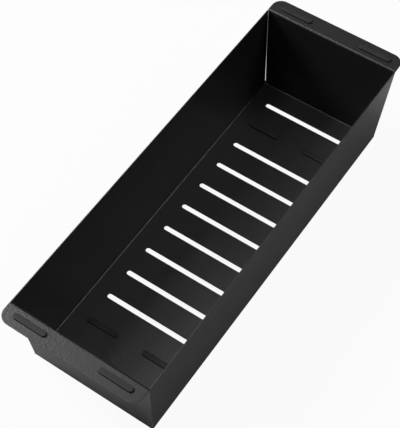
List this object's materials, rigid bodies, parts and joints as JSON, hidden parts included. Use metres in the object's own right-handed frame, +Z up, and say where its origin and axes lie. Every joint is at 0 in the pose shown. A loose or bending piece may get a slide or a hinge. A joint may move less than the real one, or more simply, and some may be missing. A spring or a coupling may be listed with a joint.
{
  "type": "sink insert basket",
  "caption": "Long narrow sink insert basket: a trough folded from black coated sheet steel, with drain slots, end flanges that rest across a sink bowl, and rubber pads and feet.",
  "frame": {"origin": "centre of the basket in plan, on the plane under the floor feet that it stands on", "axes": "+Z up towards the rim, +Y along the basket from the front flange to the rear flange, +X across it to the right long wall"},
  "size_m": [0.141, 0.43, 0.1031],
  "materials": {
    "black_coat": "satin black coating with a fine texture on sheet steel",
    "black_rubber": "matt black moulded rubber"
  },
  "bodies": {
    "root": {"basket_pan": "black_coat", "flange_pad_front_left": "black_rubber", "flange_pad_front_right": "black_rubber", "flange_pad_rear_left": "black_rubber", "flange_pad_rear_right": "black_rubber", "floor_foot_front_left": "black_rubber", "floor_foot_front_right": "black_rubber", "floor_foot_rear_left": "black_rubber", "floor_foot_rear_right": "black_rubber"}
  },
  "joints": []
}
